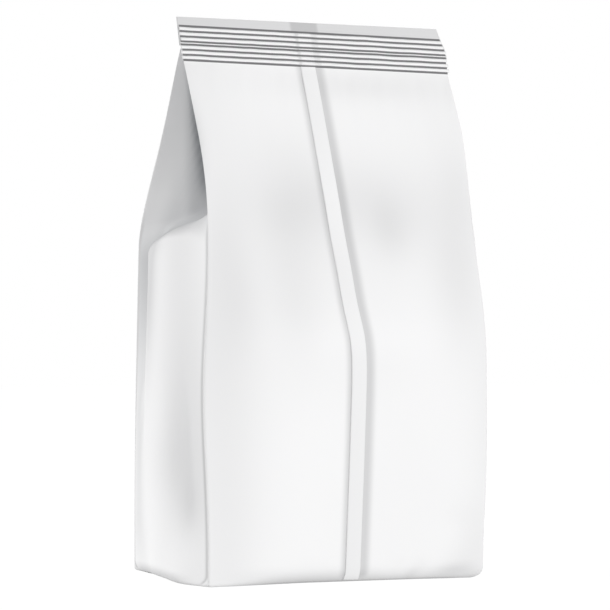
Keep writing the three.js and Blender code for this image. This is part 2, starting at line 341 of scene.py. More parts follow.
class PouchShape:
    """The pouch's surface, in millimetres, from the sizes a user can change."""

    def __init__(self, sizes):
        self.half_panel = sizes.panel_width * MM / 2
        self.depth = sizes.depth * MM
        self.half_depth = self.depth / 2
        self.height = sizes.height * MM
        self.foot_radius = sizes.foot_radius * MM
        self.kink_height = sizes.kink_height * MM
        self.kink_reach = self.half_depth + sizes.kink_bulge * MM
        self.side_bulge = sizes.side_bulge * MM
        self.seal_half = sizes.seal_width * MM / 2
        self.lean = math.tan(sizes.seal_lean)
        self.seam_half = sizes.seam_width * MM / 2
        self.seam_proud = sizes.seam_proud * MM
        group = (CRIMPS_PER_GROUP - 1) * sizes.crimp_pitch * MM
        band = CRIMP_START + 2 * group + sizes.crimp_gap * MM
        self.seal_base = self.height - band - sizes.lip_height * MM
        self.first_groove = self.seal_base + CRIMP_START
        self.last_groove = self.seal_base + band
        self.seal_closed = self.seal_base + SEAL_BACK_RISE
        self.gusset_leg = self.half_depth + GUSSET_SLACK

    def half_width(self, z, front):
        """Half the width between the upright folds."""
        narrowed = smooth(z, SHOULDER_HEIGHT, self.seal_base)
        taper = SEAL_TAPER * np.clip((z - self.seal_base) / (self.height - self.seal_base), 0, 1)
        half = self.half_panel - (self.half_panel - self.seal_half) * narrowed - taper
        if front:
            bow = WAIST_SWELL * hump(z, WAIST_HEIGHT, FOLD_SPREAD)
            bow = bow - SHOULDER_PINCH * hump(z, SHOULDER_HEIGHT, FOLD_SPREAD)
            half = half + bow * (1 - narrowed)
        return half

    def seal_y(self, z, side):
        """Y of the sealed film, on its front face (-1) or its back one (1)."""
        return -SEAL_SETBACK + (z - self.seal_base) * self.lean + side * CORE_HALF

    def front_fold(self, z):
        rise = np.maximum(0, z - FRONT_SHOULDER) / (self.seal_base - FRONT_SHOULDER)
        free = mix(-self.half_depth, self.seal_y(self.seal_base, -1), rise**FRONT_LEAN_POWER)
        return np.where(z > self.seal_base, self.seal_y(z, -1), free)

    def back_fold(self, z):
        rise = np.clip((z - BACK_SHOULDER) / (self.seal_closed - BACK_SHOULDER), 0, 1)
        turn = mix(smooth(rise, 0, 1), rise, smooth(rise, *BACK_EASE))
        upright = self.half_depth - BACK_DRAW * np.minimum(1, z / BACK_SHOULDER) ** 2
        free = mix(upright, self.seal_y(self.seal_closed, 1), turn)
        return np.where(z > self.seal_closed, self.seal_y(z, 1), free)

    def middle(self, z, front):
        """Y of a panel's middle line: out to the kink, then in to the seal."""
        side = -1 if front else 1
        top = self.seal_base if front else self.seal_closed
        lower = mix(self.half_depth - BASE_SETBACK, self.kink_reach, z / self.kink_height)
        share = (z - self.kink_height) / (top - self.kink_height)
        upper = mix(self.kink_reach, side * self.seal_y(top, side), share)
        return side * (lower + upper - np.hypot(lower - upper, KINK_SOFTNESS)) / 2

    def seam_x(self, z):
        lower = mix(SEAM_BASE_X, SEAM_KINK_X, z / self.kink_height)
        share = np.clip((z - self.kink_height) / (self.seal_base - self.kink_height), 0, 1)
        upper = mix(SEAM_KINK_X, SEAM_SEAL_X, share) - SEAM_BOW * np.sin(math.pi * share)
        return np.where(z < self.kink_height, lower, upper) + bent(z, SEAM_BENDS)

    def panel(self, z, across, front):
        """X and Y of a panel; across runs from -1 at the left fold through 0 at the seam to 1."""
        half = self.half_width(z, front)
        if front:
            half = half + np.where(across < 0, -bent(z, LEFT_BENDS), bent(z, RIGHT_BENDS))
        x = mix(self.seam_x(z), np.where(across < 0, -half, half), np.abs(across))
        fold = self.front_fold(z) if front else self.back_fold(z)
        free = z < (self.seal_base if front else self.seal_closed)
        bulge = np.where(free, self.middle(z, front) - fold, 0)
        return x, fold + bulge * (1 - np.abs(x / half) ** PANEL_FULLNESS)

    def panel_dents(self, x, z):
        """How far the panel with the seam is pressed in by dents and ripples."""
        below = self.seal_base - z
        ripple = sum(share * np.sin(x * rate + start) for rate, start, share in RIPPLES)
        pressed = patches(x, z, PANEL_DENTS) + RIPPLE_DEPTH * ripple * np.exp(-below / RIPPLE_REACH)
        return pressed * smooth(below, 0, DENT_FADE)

    def seam_trough(self, x, z):
        """How far the panel is drawn in along both edges of the seam's strip."""
        beside = np.abs(x - self.seam_x(z)) - self.seam_half
        spread = np.where(x < self.seam_x(z), TROUGH_LEFT, TROUGH_RIGHT)
        shown = smooth(z, *TROUGH_FOOT) * smooth(self.seal_base - z, 0, DENT_FADE)
        return TROUGH_DEPTH * hump(beside, TROUGH_OFFSET, spread) * shown

    def tuck(self, z):
        """How far a gusset's middle crease folds in, from its film's length."""
        spread = (self.back_fold(z) - self.front_fold(z)) / 2
        return np.sqrt(np.maximum(0, self.gusset_leg**2 - spread**2))

    def side(self, z, along):
        """Half width and Y of a side; along runs from the front fold to the back one."""
        front, back = self.front_fold(z), self.back_fold(z)
        swell = np.sin(math.pi * along)
        filled = self.side_bulge * swell - self.side_dents(z, along)
        inwards = self.tuck(z) * (1 - np.abs(2 * along - 1))
        free = mix(filled, -inwards, self.tucked(z, along))
        sealed = (back - front) / 2 * swell
        half = mix(self.half_width(z, True), self.half_width(z, False), along)
        return half + np.where(z > self.seal_closed, sealed, free), mix(front, back, along)

    def side_dents(self, z, along):
        """How far a side is pressed in."""
        soft = patches(along, z, SIDE_DENTS) * np.sqrt(np.sin(math.pi * along))
        return soft + self.valley(z, along) + FOLD_LINE_DEPTH * self.fold_line(z, along)

    def valley(self, z, along):
        """The lower end of the tuck: a valley that fades out down the back fold."""
        from_back = (1 - along) * self.depth
        wall = fade(from_back, VALLEY_WIDTH, VALLEY_WIDTH + VALLEY_WALL)
        return VALLEY_DEPTH * np.minimum(from_back / VALLEY_WIDTH, 1) * wall * smooth(z, *VALLEY_HEIGHTS)

    def fold_line(self, z, along):
        """Where the fine creases beside the folds run."""
        from_fold = np.minimum(along, 1 - along) * self.depth
        inset = FOLD_LINE_INSET + FOLD_LINE_CURL * hump(z, 0, FOLD_LINE_CURL_HEIGHT)
        shown = smooth(z, *FOLD_LINE_FOOT) * fade(z, *FOLD_LINE_TOP)
        return hump(from_fold, inset, FOLD_LINE_WIDTH) * shown

    def tucked(self, z, along):
        """How far a side has left the contents and folded inwards, from 0 to 1."""
        ledge = LEDGE_HEIGHT - LEDGE_DROP * smooth(along, LEDGE_TURN, 1)
        ledge = ledge - LEDGE_DIP * fade(along, 0, LEDGE_DIP_SPAN)
        return smooth(z, ledge - LEDGE_SOFTNESS / 2, ledge + LEDGE_SOFTNESS / 2)

    def tuck_shadow(self, z, along):
        """How deep in the shade of the front panel the film of a tuck lies, from 0 to 1."""
        above = z - LEDGE_HEIGHT
        half, y = self.side(z, along)
        aside = -half * math.cos(TUCK_SLANT) - y * math.sin(TUCK_SLANT)
        step = TUCK_STEP_GREY * smooth(aside, *TUCK_STEP) * smooth(above, *TUCK_STEP_RISE)
        from_crease = np.abs(2 * along - 1)
        mouth = np.maximum(self.back_fold(z) - self.front_fold(z), TUCK_MOUTH_LEAST)
        inwards = self.tuck(z) * (1 - from_crease) / mouth
        seen = (1 + from_crease) / 2 - inwards / math.tan(TUCK_SLANT)
        wedge = fade(seen, *TUCK_WEDGE) * smooth(above, *TUCK_WEDGE_RISE)
        return mix(step, 1, wedge) * fade(z, *TUCK_LIT_HEIGHTS)

    def tuck_painted_shade(self, z, along):
        """Painted shade in a gusset's tuck and valley, from 0 to 1, where little light would reach."""
        above = z - LEDGE_HEIGHT
        plain = TUCK_GREY * fade(above, *TUCK_GREY_RISE)
        plain = plain * (1 - TUCK_BACK_LOSS * smooth(along, *TUCK_BACK_SPAN))
        low = TUCK_LOW_GREY * fade(above, *TUCK_LOW_RISE)
        grey = mix(plain + low, 1, self.tuck_shadow(z, along))
        width = mix(VALLEY_FOOT_WIDTH, VALLEY_WIDTH, smooth(z, *VALLEY_HEIGHTS))
        past_valley = (1 - along) * self.depth - width
        valley = VALLEY_GREY * smooth(z, *VALLEY_GREY_HEIGHTS) * fade(past_valley, *VALLEY_GREY_EDGE)
        return mix(valley, grey, self.tucked(z, along)) * (z < self.seal_closed)

    def panel_painted_shade(self, x, z):
        """How much painted shade, in soft patches and along the foot, dims the panel with the seam."""
        foot = FOOT_GREY * (1 - FOOT_GREY_LOSS * smooth(x, *FOOT_GREY_END))
        foot = foot * fade(z, 0, FOOT_GREY_HEIGHT)
        line = FOOT_SHADOW_LINE * fade(x, *FOOT_LINE_END) * fade(z, *FOOT_LINE_HEIGHTS)
        return patches(x, z, PANEL_SHADE_PATCHES) + (foot + line) * smooth(x, *FOOT_GREY_SPAN)

    def side_painted_shade(self, z, along):
        """How much painted shade, in soft patches and along the foot, dims a side."""
        soft = patches(along, z, SIDE_SHADE_PATCHES) * (1 - self.tucked(z, along))
        foot = SIDE_FOOT_GREY * smooth(along, *SIDE_FOOT_SPAN) * fade(z, 0, SIDE_FOOT_HEIGHT)
        return soft + foot * (1 - SIDE_FOOT_LOSS * smooth(along, *SIDE_FOOT_END))

    def foot_inset(self, x, z):
        """How far the walls draw in as they turn under, least at the ends."""
        fullness = smooth(x, *FOOT_SPAN) * (1 - FOOT_END_LOSS * smooth(x, *FOOT_END))
        radius = mix(FOOT_SHARPEST, self.foot_radius, fullness)
        up = np.minimum(1, z / radius)
        return radius * (1 - np.sqrt(1 - (1 - up) ** 2))

    def foot_lift(self, z, across, along):
        """How far the film stands off the floor, all the way round."""
        side = SIDE_LIFT * smooth(along, *SIDE_LIFT_SPAN)
        back = SIDE_LIFT * smooth(np.abs(across), *BACK_LIFT_SPAN)
        return around(0 * across, side, back, side) * fade(z, 0, SIDE_LIFT_HEIGHT)

    def crimp_drop(self, x, z):
        """How far the crimps, and the film beside them, run down towards the right."""
        held = smooth(z, self.seal_base - CRIMP_DROP_REACH, self.seal_base)
        return CRIMP_SLOPE * x * held * fade(z, self.last_groove + CRIMP_DROP_END, self.height)

    def end_cut(self, x, z):
        """How far the right end of the seal is cut back from its full width."""
        up = z - self.seal_base
        rise = np.maximum(up - SEAL_CUT_START, 0) / (self.height - self.seal_base - SEAL_CUT_START)
        extra = SEAL_RIGHT_EXTRA * smooth(up, -SEAL_EXTRA_RISE, SEAL_EXTRA_RISE)
        return (SEAL_RIGHT_CUT * rise - extra) * np.maximum(x, 0) / self.seal_half


def spaced(count, total, pitch_at):
    """Shares from 0 to 1 of a run of film, closer together where its pitch is finer."""
    run = np.linspace(0, total, SPACING_STEPS)
    reached = np.concatenate([[0], np.cumsum(1 / pitch_at(run[:-1]))])
    return np.interp(np.linspace(0, reached[-1], count), reached, run) / total


def panel_columns(shape):
    """Places across a panel, closest together at the folds and beside the seam."""

    def pitch(run):
        near_fold = mix(FOLD_PITCH, OPEN_PITCH, smooth(run, *PANEL_FOLD_REACH))
        near_seam = mix(SEAM_PITCH, OPEN_PITCH, smooth(shape.half_panel - run, *SEAM_REACH))
        return np.minimum(near_fold, near_seam)

    half = spaced(PANEL_COLUMNS // 2 + 1, shape.half_panel, pitch)
    return np.concatenate([half[:-1] - 1, [0], (1 - half[:-1])[::-1]])


def side_columns(shape):
    """Places along a side, closest together at the folds and the middle crease."""

    def pitch(run):
        from_fold = np.minimum(run, shape.depth - run)
        near_fold = mix(FOLD_PITCH, OPEN_PITCH, smooth(from_fold, *SIDE_FOLD_REACH))
        near_crease = mix(FOLD_PITCH, OPEN_PITCH, smooth(np.abs(run - shape.half_depth), *CREASE_REACH))
        return np.minimum(near_fold, near_crease)

    return spaced(SIDE_COLUMNS + 2, shape.depth, pitch)[1:-1]


def film_heights(shape):
    """Heights of the film's rows, from the floor to the cut edge."""
    turn = np.linspace(0, math.pi / 2, FOOT_ROWS)
    edge = np.array(GROOVE_EDGE)
    rows = (
        shape.foot_radius * (1 - np.cos(turn)),
        np.linspace(shape.foot_radius, shape.seal_base - WALL_END, WALL_ROWS),
        shape.seal_base + np.array(SEAL_BASE_ROWS),
        shape.first_groove - edge,
        np.linspace(shape.first_groove, shape.last_groove, CRIMP_ROWS),
        shape.last_groove + edge,
        shape.seal_closed + np.array(CLOSING_ROWS),
        shape.height + np.array(LIP_ROWS),
    )
    return np.unique(np.round(np.concatenate(rows), ROW_DIGITS))


def soften_folds(values, weights):
    """Rounds the folds off by drawing each point towards its neighbours."""
    for _ in range(FOLD_SOFT_ROUNDS):
        between = (np.roll(values, 1, axis=1) + np.roll(values, -1, axis=1)) / 2
        values = values + weights * (between - values)
    return values


def skin_points(shape, z, across, along):
    """X, Y and height of every point of the film, row by row."""
    front_x, front_y = shape.panel(z, across, True)
    front_y = front_y + shape.panel_dents(front_x, z) + shape.seam_trough(front_x, z)
    back_x, back_y = shape.panel(z, across, False)
    side_half, side_y = shape.side(z, along)
    right_x = side_half + bent(z, RIGHT_BENDS) * (1 - along)
    left_x = -side_half + bent(z, LEFT_BENDS) * (1 - along)

    near_fold = np.concatenate([1 - np.abs(across), np.minimum(along, 1 - along)], axis=1)
    weights = np.tile(FOLD_SOFTENING * fade(near_fold, *FOLD_SOFT_SPAN), 2)
    x = soften_folds(around(front_x, right_x, back_x, left_x), weights)
    y = soften_folds(around(front_y, side_y, back_y, side_y), weights)

    inset = shape.foot_inset(x, z)
    x = x * (1 - inset / shape.half_panel)
    y = y * (1 - inset / shape.half_depth)
    x = x - shape.end_cut(x, z)
    height = z + shape.foot_lift(z, across, along) - shape.crimp_drop(x, z)
    return np.stack([x, y, height], axis=-1)


def wall_faces(rows, columns):
    """Quads between neighbouring rows of a closed skin, facing outwards."""
    row, column = np.meshgrid(np.arange(rows - 1), np.arange(columns), indexing="ij")
    first = row * columns + column
    second = row * columns + (column + 1) % columns
    return np.stack([first, second, second + columns, first + columns], axis=-1).reshape(-1, 4).tolist()


def cap_faces(top):
    """Faces that close the base and the cut edge."""
    crease = SIDE_COLUMNS // 2
    right = PANEL_COLUMNS + np.arange(SIDE_COLUMNS)
    back = PANEL_COLUMNS + SIDE_COLUMNS + np.arange(PANEL_COLUMNS)[::-1]
    left = 2 * PANEL_COLUMNS + SIDE_COLUMNS + np.arange(SIDE_COLUMNS)
    front_line = np.concatenate([left[crease:], np.arange(PANEL_COLUMNS), right[: crease + 1]]).tolist()
    back_line = np.concatenate([left[: crease + 1][::-1], back, right[crease:][::-1]]).tolist()
    faces = []
    for i in range(len(front_line) - 1):
        corners = [front_line[i], front_line[i + 1], back_line[i + 1], back_line[i]]
        corners = list(dict.fromkeys(corners))
        faces.append([top + corner for corner in corners])
        faces.append(corners[::-1])
    return faces


def plain_mesh(name, points, faces):
    """A smooth mesh from points in metres."""
    mesh = bpy.data.meshes.new(name)
    mesh.from_pydata(points, [], faces)
    mesh.polygons.foreach_set("use_smooth", np.ones(len(mesh.polygons), bool))
    mesh.update()
    mesh.validate()
    return mesh


def film_skin(shape):
    """The film: one closed skin, with marks for its creases and shades."""
    across = panel_columns(shape)[None, :]
    along = side_columns(shape)[None, :]
    z = film_heights(shape)[:, None]
    points = skin_points(shape, z, across, along) / MM
    rows, columns, _ = points.shape
    faces = wall_faces(rows, columns) + cap_faces((rows - 1) * columns)
    mesh = plain_mesh("pouch_film", points.reshape(-1, 3).tolist(), faces)
    for mark, (front, side, back) in film_marks(shape, z, across, along).items():
        values = around(front, side, back, side).astype(np.float32).ravel()
        mesh.attributes.new(mark, "FLOAT", "POINT").data.foreach_set("value", values)
    return mesh


def film_marks(shape, z, across, along):
    """Where the front, the sides and the back carry painted shade in creases, tucks, grooves and soft
    patches, or a greyer lip, for the finish to read.
    """
    x, _ = shape.panel(z, across, True)
    from_seam = x - shape.seam_x(z)
    beside = np.abs(from_seam) - shape.seam_half
    shade = np.where(from_seam < 0, fade(beside, *SEAM_SHADE_LEFT), fade(beside, *SEAM_SHADE_RIGHT))
    lip = smooth(z - shape.last_groove, *GROOVE_EDGE)
    lip_seam = lip * fade(np.abs(from_seam - LIP_SEAM_SHIFT), *LIP_SEAM_EDGE)
    # Painted shade in the crimp grooves, on the front, the cut ends and the back
    band = fade(shape.first_groove - z, *GROOVE_EDGE) * (1 - lip)
    no_panel, no_side = 0 * (across + z), 0 * (along + z)
    back_groove = band * (z > shape.seal_closed + SEAL_ENTRY) + no_panel
    end_groove = SEAL_END_GREY * band * (z > shape.seal_closed) + no_side
    return {
        "seam_shade": (shade * smooth(z, *SEAM_SHADE_FOOT), no_side, no_panel),
        "crimp_groove": (band + no_panel, end_groove, back_groove),
        "lip": (lip + no_panel, lip + no_side, lip + no_panel),
        "lip_seam": (lip_seam, no_side, no_panel),
        # painted shade along the fine creases beside the folds
        "fold_line": (no_panel, shape.fold_line(z, along), no_panel),
        # painted shade in the tucks and valleys
        "tuck": (no_panel, shape.tuck_painted_shade(z, along), no_panel),
        # the pressed mark carries painted shade: soft patches, the darker foot and its shadow line
        "pressed": (shape.panel_painted_shade(x, z), shape.side_painted_shade(z, along), no_panel),
    }


class Reading:
    """An output of a node tree that can stand in a Python expression; each operation adds a Math node."""

    def __init__(self, bench, socket):
        self.bench, self.socket = bench, socket

    def __add__(self, other):
        return self.bench.math("ADD", self, other)

    def __radd__(self, other):
        return self.bench.math("ADD", other, self)

    def __sub__(self, other):
        return self.bench.math("SUBTRACT", self, other)

    def __rsub__(self, other):
        return self.bench.math("SUBTRACT", other, self)

    def __mul__(self, other):
        return self.bench.math("MULTIPLY", self, other)

    def __rmul__(self, other):
        return self.bench.math("MULTIPLY", other, self)


class NodeBench:
    """Adds nodes to one tree, each from its type, the values or links of its sockets, and its settings."""

    def __init__(self, tree):
        self.tree = tree
        tree.nodes.clear()

    def add(self, kind, sockets=None, **settings):
        node = self.tree.nodes.new(kind)
        for name, value in settings.items():
            if name == "stops":
                self.set_stops(node.color_ramp.elements, value)
            else:
                setattr(node, name, value)
        for key, value in (sockets or {}).items():
            self.feed(node.inputs[key], value)
        return node

    def set_stops(self, stops, levels):
        while len(stops) < len(levels):
            stops.new(1)
        for stop, (place, level) in zip(stops, levels):
            stop.position = place
            stop.color = (level, level, level, 1)

    def feed(self, socket, value):
        if isinstance(value, Reading):
            self.tree.links.new(value.socket, socket)
        else:
            socket.default_value = value

    def read(self, kind, sockets=None, output=0, **settings):
        return Reading(self, self.add(kind, sockets, **settings).outputs[output])

    def math(self, operation, *values):
        return self.read("ShaderNodeMath", dict(enumerate(values)), operation=operation)

    def vector(self, *parts):
        return self.read("ShaderNodeCombineXYZ", dict(enumerate(parts)))

    def ramp(self, value, low, high, start=0, end=1, soft=False):
        """A value carried from one range to another, and held at its ends."""
        sockets = {"Value": value, "From Min": low, "From Max": high, "To Min": start, "To Max": end}
        kind = "SMOOTHSTEP" if soft else "LINEAR"
        return self.read("ShaderNodeMapRange", sockets, interpolation_type=kind)

    def noise(self, place, scale, detail):
        return self.read("ShaderNodeTexNoise", {"Vector": place, "Scale": scale, "Detail": detail})

    def blend_colour(self, share, first, second, blend="MIX"):
        """One colour over another; the Mix node's colour sockets are 6, 7 and 2."""
        sockets = {0: share, 6: first, 7: second}
        return self.read("ShaderNodeMix", sockets, 2, data_type="RGBA", blend_type=blend)

    def store_mark(self, shape, mark, value):
        sockets = {"Geometry": shape, "Name": mark, "Value": value}
        return self.read("GeometryNodeStoreNamedAttribute", sockets)

    def surface(self, sockets):
        shader = self.read("ShaderNodeBsdfPrincipled", sockets)
        self.add("ShaderNodeOutputMaterial", {"Surface": shader})


def new_finish(name):
    """A new material, its bench and the place that its noises read."""
    finish = bpy.data.materials.new(name)
    finish.use_nodes = True
    bench = NodeBench(finish.node_tree)
    return finish, bench, bench.read("ShaderNodeTexCoord", output="Object")


def dimmed(tint, share):
    return tuple(channel * share for channel in tint[:3]) + (1,)


def film_finish(looks):
    """Satin white film with faint clouds, fine wrinkles, and painted shade in its creases, tucks, grooves
    and soft patches.
    """
    finish, bench, place = new_finish("satin_film")
    cloud, wrinkle, grain = (bench.noise(place, *noise) for noise in FILM_NOISES)
    dull = dimmed(looks.film, DULL_SHARE)
    tone = bench.blend_colour(cloud * CLOUD_TONE + grain * GRAIN_TONE, tuple(looks.film), dull)
    # Each mark mixes its colour over the film; all but lip and lip_seam are painted shade, and pressed is
    # multiplied
    for mark in FILM_MARKS:
        share = bench.read("ShaderNodeAttribute", output="Fac", attribute_name=mark)
        blend = "MULTIPLY" if mark == "pressed" else "MIX"
        tone = bench.blend_colour(share, tone, tuple(getattr(looks, mark)), blend)
    relief = wrinkle * WRINKLE_RELIEF + grain * GRAIN_RELIEF
    sockets = {"Strength": RELIEF_STRENGTH, "Distance": RELIEF_DEPTH, "Height": relief}
    sockets = {
        "Base Color": tone,
        "Roughness": looks.gloss + (cloud - 0.5) * CLOUD_GLOSS,
        "Specular IOR Level": FILM_SPECULAR,
        "Normal": bench.read("ShaderNodeBump", sockets),
    }
    bench.surface(sockets)
    return finish


def floor_finish(looks):
    """Pale floor that glows as white as the backdrop."""
    finish, bench, place = new_finish("pale_floor")
    sockets = {
        "Base Color": dimmed(looks.floor, FLOOR_SHADE),
        "Roughness": FLOOR_ROUGHNESS + bench.noise(place, *FLOOR_NOISE) * FLOOR_SPECKLE,
        "Specular IOR Level": 0,
        "Emission Color": (1, 1, 1, 1),
        "Emission Strength": FLOOR_GLOW,
    }
    bench.surface(sockets)
    return finish


INPUT_KINDS = {"Line": "NodeSocketGeometry", "Ridges": "NodeSocketInt", "Finish": "NodeSocketMaterial"}


def geometry_tree(name, labels):
    """An empty geometry tree, its bench and readings of its named inputs."""
    tree = bpy.data.node_groups.new(name, "GeometryNodeTree")
    tree.interface.new_socket(name="Geometry", in_out="OUTPUT", socket_type="NodeSocketGeometry")
    for label in labels:
        kind = INPUT_KINDS.get(label, "NodeSocketFloat")
        tree.interface.new_socket(name=label, in_out="INPUT", socket_type=kind)
    bench = NodeBench(tree)
    sockets = bench.add("NodeGroupInput").outputs
    return tree, bench, {label: Reading(bench, sockets[label]) for label in labels}


def finish_tree(bench, shape, finish):
    """Ends a geometry tree: real smooth faces in their finish."""
    real = bench.read("GeometryNodeRealizeInstances", {0: shape})
    rounded = bench.read("GeometryNodeSetShadeSmooth", {0: real})
    finished = bench.read("GeometryNodeSetMaterial", {"Geometry": rounded, "Material": finish})
    bench.add("NodeGroupOutput", {0: finished})


def ridge_bars(bench, given):
    """Straight level bars, one for each ridge, with a thinner one between the two groups."""
    pitch, gap, groove = given["Pitch"], given["Group Gap"], given["Groove"]
    middle, ragged = (given["Ridges"] - 1) * 0.5, given["Ragged Ends"]
    sockets = {"Vertices": RIDGE_SIDES, "Side Segments": RIDGE_STEPS, "Depth": given["Width"]}
    bar = bench.read("GeometryNodeMeshCylinder", sockets)
    section = bench.vector((pitch - groove) * 0.5, given["Half Thickness"], 1)
    sockets = {"Geometry": bar, "Rotation": (0, math.pi / 2, 0), "Scale": section}
    bar = bench.read("GeometryNodeTransform", sockets)

    index = bench.read("GeometryNodeInputIndex")
    sockets = {2: 0 - ragged, 3: ragged, "ID": index, "Seed": RIDGE_SEED}
    shift = bench.read("FunctionNodeRandomValue", sockets, 1)
    past_gap = bench.ramp(index, middle - 1, middle + 1)
    height = given["First Groove"] + (index + 0.5) * pitch - (pitch - gap) * past_gap
    sockets = {"Count": given["Ridges"], "Position": bench.vector(shift, 0, height)}
    points = bench.read("GeometryNodePoints", sockets)

    is_narrow = bench.math("COMPARE", index, middle, 0.5)
    thinner = 1 - bench.math("DIVIDE", gap - groove, pitch - groove)
    scale = bench.vector(1, 1, 1 - is_narrow * thinner)
    bars = bench.read("GeometryNodeInstanceOnPoints", {"Points": points, "Instance": bar, "Scale": scale})
    return bench.read("GeometryNodeRealizeInstances", {0: bars})


def crimp_tree(labels):
    """Ridges across the seal, one for each gap between two grooves, sheared to the seal's lean."""
    tree, bench, given = geometry_tree("seal_crimps", labels)
    ridges = ridge_bars(bench, given)
    spot = bench.read("GeometryNodeInputPosition")
    x, y, z = (bench.read("ShaderNodeSeparateXYZ", {0: spot}, axis) for axis in "XYZ")
    up = z - given["Seal Base"]
    from_seam = x - given["Seam X"]
    facing = bench.ramp(y, RIDGE_FACE / MM, -RIDGE_FACE / MM)

    shade = 0
    for side, past_edge, outer, inner, strength in RIDGE_SHADES:
        from_edge = bench.math("ABSOLUTE", from_seam - (given["Seam Half"] + past_edge / MM) * side)
        shade = shade + bench.ramp(from_edge, outer / MM, inner / MM, 0, strength)
    ridges = bench.store_mark(ridges, "seam_shade", shade * facing)

    outer, inner = (given["Seam Half"] + edge / MM for edge in RIDGE_LIFT_EDGE)
    over_seam = bench.ramp(bench.math("ABSOLUTE", from_seam), outer, inner, soft=True)
    low, high = (rise / MM for rise in RIDGE_JOIN)
    joined = bench.ramp(up - given["Back Rise"], low, high, RIDGE_BURIED / MM, given["Half Thickness"])
    behind = bench.math("MINIMUM", y, joined)
    above_cut = bench.math("MAXIMUM", up - given["Cut Start"], 0)
    widened = bench.ramp(up, 0 - given["Extra Rise"], given["Extra Rise"], soft=True)
    end_cut = above_cut * given["Right Cut"] - widened * given["Right Extra"]
    ripple = bench.noise(spot, *RIDGE_NOISE) - 0.5
    leaned = bench.vector(
        x - x * up * given["Taper"] - bench.math("MAXIMUM", x, 0) * end_cut,
        behind + given["Seal Y"] + up * given["Lean"] - over_seam * facing * given["Seam Lift"],
        z + ripple * (RIDGE_RIPPLE / MM) - x * given["Slope"],
    )
    ridges = bench.read("GeometryNodeSetPosition", {"Geometry": ridges, "Position": leaned})
    finish_tree(bench, ridges, given["Finish"])
    return tree


def seam_tree(labels):
    """A flat strip with rounded edges, swept along the seam's line."""
    tree, bench, given = geometry_tree("back_seam", ("Line", *labels))
    line = bench.read("GeometryNodeMeshToCurve", {0: given["Line"]})
    line = bench.read("GeometryNodeSetCurveNormal", {"Curve": line, "Normal": (0, -1, 0)}, mode="FREE")
    sockets = {"Width": given["Thickness"], "Height": given["Width"]}
    section = bench.read("GeometryNodeCurvePrimitiveQuadrilateral", sockets)
    sockets = {"Curve": section, "Count": STRIP_EDGE_STEPS, "Radius": given["Rounding"]}
    section = bench.read("GeometryNodeFilletCurve", sockets, mode="POLY")
    sockets = {"Curve": line, "Profile Curve": section, "Fill Caps": True}
    strip = bench.read("GeometryNodeCurveToMesh", sockets)

    # Painted shade on the strip, stored in the pressed mark: darker below the kink, fading out at its foot
    spot = bench.read("GeometryNodeInputPosition")
    height = bench.read("ShaderNodeSeparateXYZ", {0: spot}, "Z")
    kink, turn = given["Kink Height"], STRIP_GREY_TURN / MM
    grey = bench.ramp(height, kink - turn, kink + turn, STRIP_LOWER_GREY, STRIP_UPPER_GREY)
    above_foot = bench.ramp(height, 0, given["Lit Foot"], soft=True)
    strip = bench.store_mark(strip, "pressed", grey * above_foot)
    finish_tree(bench, strip, given["Finish"])
    return tree


def seam_line(shape):
    """Points along the middle of the seam's strip, bedded in the panel."""
    turn = np.linspace(math.acos(1 - STRIP_START / shape.foot_radius), math.pi / 2, STRIP_FOOT_ROWS)
    foot = shape.foot_radius * (1 - np.cos(turn))
    z = np.concatenate([foot, np.linspace(shape.foot_radius, shape.seal_base + STRIP_END, STRIP_ROWS)[1:]])
    x, y = shape.panel(z, np.zeros_like(z), True)
    y = y + shape.panel_dents(x, z)
    inset = STRIP_FOOT_TURN * shape.foot_inset(x, z)
    sunk = STRIP_SINK * smooth(z, shape.seal_base - STRIP_SINK_HEIGHT, shape.seal_base)
    bedded = (shape.seam_proud - STRIP_THICKNESS / 2) * (1 - sunk)
    x = x * (1 - inset / shape.half_panel)
    y = y * (1 - inset / shape.half_depth) - bedded
    return np.stack([x, y, z], axis=-1)


def new_piece(name, content):
    piece = bpy.data.objects.new(name, content)
    bpy.context.scene.collection.objects.link(piece)
    return piece


def grow_piece(name, tree, values, start):
    """A plain mesh object from a geometry tree and the values of its inputs."""
    piece = new_piece(name, start)
    modifier = piece.modifiers.new(name, "NODES")
    modifier.node_group = tree
    for item in tree.interface.items_tree:
        if item.name in values:
            modifier[item.identifier] = values[item.name]
    grown = piece.evaluated_get(bpy.context.evaluated_depsgraph_get())
    mesh = bpy.data.meshes.new_from_object(grown)
    piece.modifiers.clear()
    piece.data = mesh
    if not mesh.polygons:
        raise RuntimeError(f"{name} came out empty")
    return piece


def settle(piece):
    """Fixes a finished piece to the pouch."""
    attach(piece, "root")


def shared_film(looks):
    return bpy.data.materials.get("satin_film") or film_finish(looks)


class POUCH_OT_film(bpy.types.Operator):
    """Make the film of the pouch, from its base to the cut edge of its seal"""

    bl_idname = "pouch.film"
    bl_label = "Film"

    def execute(self, context):
        mesh = film_skin(PouchShape(context.scene.pouch_sizes))
        mesh.materials.append(shared_film(context.scene.pouch_finish))
        piece = new_piece("pouch_film", mesh)
        settle(piece)
        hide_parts("pouch")
        return {"FINISHED"}


